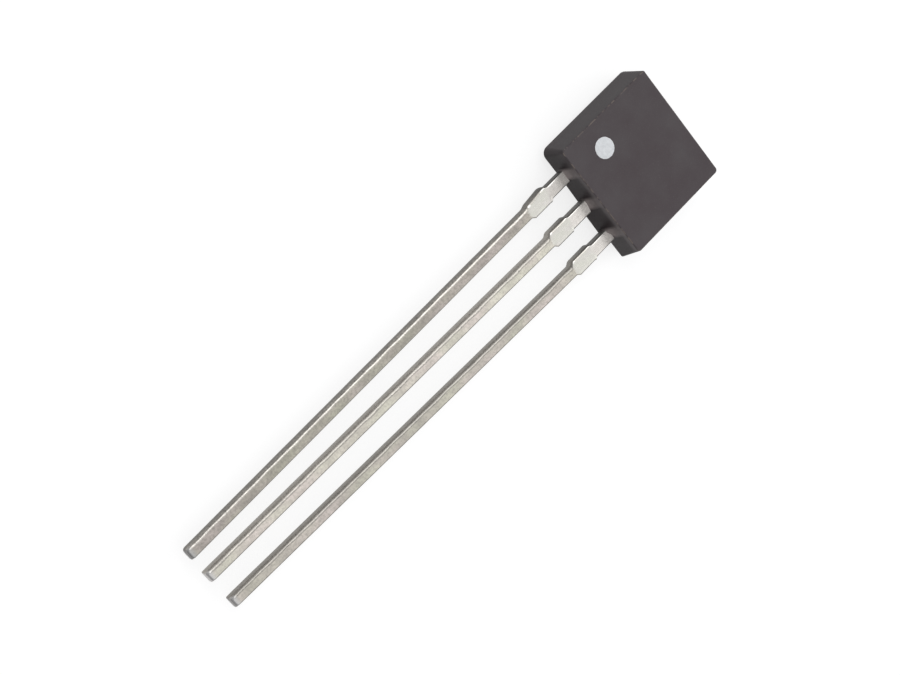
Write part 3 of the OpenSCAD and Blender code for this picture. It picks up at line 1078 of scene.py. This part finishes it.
def dot_ring(bm, share, z):
    """One ring of the dot at that share of its radius, with its uneven edge."""
    ring = []
    for i in range(DOT_SIDES):
        angle = 2 * math.pi * i / DOT_SIDES
        lumps = Vector((math.cos(angle), math.sin(angle), 0)) * DOT_RAGGED_LUMPS
        radius = DOT_RADIUS * share + DOT_RAGGED * noise.noise(lumps)
        ring.append(bm.verts.new((DOT_X + radius * math.cos(angle), DOT_Y + radius * math.sin(angle), z)))
    return ring


def ink_dot():
    """A plain round dot of ink with a slightly uneven edge."""
    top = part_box("moulded_body")[1].z
    bm = bmesh.new()
    rings = [dot_ring(bm, share, top + height) for share, height in DOT_PROFILE]
    for lower, upper in zip(rings, rings[1:]):
        join_rings(bm, lower, upper)
    bm.faces.new(rings[-1])
    bm.faces.new(reversed(rings[0]))
    dress(new_piece("ink_dot", bm, mottled("marking_ink", *INK)), "marking_ink")


# ---- Stage ----

def table_material():
    """Pale table: it takes the shadow, and looks white to the eye and to the metal."""
    material, shader = new_material("table")
    tree = material.node_tree
    grain = noise_field(tree, place_texture(tree), TABLE_GRAIN_SIZE)
    tree.links.new(mix_colours(tree, grain, TABLE_DARK, TABLE_PALE), shader.inputs["Base Color"])
    shader.inputs["Roughness"].default_value = TABLE_ROUGHNESS
    shader.inputs["Specular IOR Level"].default_value = 0.0
    paths = add_node(tree, "ShaderNodeLightPath")
    eye_or_gloss = math_node(tree, "MAXIMUM", paths.outputs["Is Camera Ray"], paths.outputs["Is Glossy Ray"])
    seen = math_node(tree, "MAXIMUM", eye_or_gloss, paths.outputs["Is Transmission Ray"])
    tree.links.new(multiply(tree, seen, TABLE_LIFT), shader.inputs["Emission Strength"])
    shader.inputs["Emission Color"].default_value = (1.0, 1.0, 1.0, 1.0)
    return material


def table():
    """Floor at the height of the part's lowest point."""
    bm = bmesh.new()
    bmesh.ops.create_grid(bm, x_segments=1, y_segments=1, size=TABLE_SIZE / 2)
    mesh = bpy.data.meshes.new("table")
    bm.to_mesh(mesh)
    bm.free()
    mesh.materials.append(table_material())
    floor = bpy.data.objects.new("table", mesh)
    floor.location.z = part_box("moulded_body")[0].z
    bpy.context.scene.collection.objects.link(floor)


def panel(name, direction, width, height, radiance, target):
    """A soft rectangular lamp that faces the part."""
    data = bpy.data.lights.new(name, "AREA")
    data.shape = "RECTANGLE"
    data.size = width
    data.size_y = height
    data.energy = radiance * math.pi * width * height
    lamp = bpy.data.objects.new(name, data)
    away = Vector(direction).normalized()
    lamp.location = target + away * PANEL_DISTANCE
    lamp.rotation_mode = "QUATERNION"
    lamp.rotation_quaternion = away.to_track_quat("Z", "Y")
    bpy.context.scene.collection.objects.link(lamp)


def world():
    """Even pale surroundings."""
    surroundings = bpy.data.worlds.new("studio")
    surroundings.use_nodes = True
    background = surroundings.node_tree.nodes["Background"]
    background.inputs["Color"].default_value = WORLD_COLOUR
    background.inputs["Strength"].default_value = WORLD_STRENGTH
    bpy.context.scene.world = surroundings


def camera():
    """The photograph's own viewpoint."""
    data = bpy.data.cameras.new("camera")
    data.sensor_fit = "HORIZONTAL"
    data.sensor_width = SENSOR_WIDTH
    data.lens = FOCAL_LENGTH
    data.clip_start = CLIP_START
    data.clip_end = CLIP_END
    eye = bpy.data.objects.new("camera", data)
    turn = Matrix((CAMERA_RIGHT, CAMERA_UP, CAMERA_BACK)).transposed()
    end_wall = Vector((0, exit_place(), PARTING_Z))
    eye.matrix_world = Matrix.Translation(end_wall + CAMERA_OFFSET) @ turn.to_4x4()
    bpy.context.scene.collection.objects.link(eye)
    bpy.context.scene.camera = eye


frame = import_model()
cad_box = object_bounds()
bpy.context.scene.view_settings.view_transform = "Standard"

moulded_body()
for index, lead_name in enumerate(LEADS):
    tin_skin(lead_name, 10 * index)
ink_dot()
finish_inside()

table()
world()
middle = Vector((0, (cad_box[0].y + cad_box[1].y) / 2, 0))
for lamp_settings in PANELS:
    panel(*lamp_settings, middle)
camera()
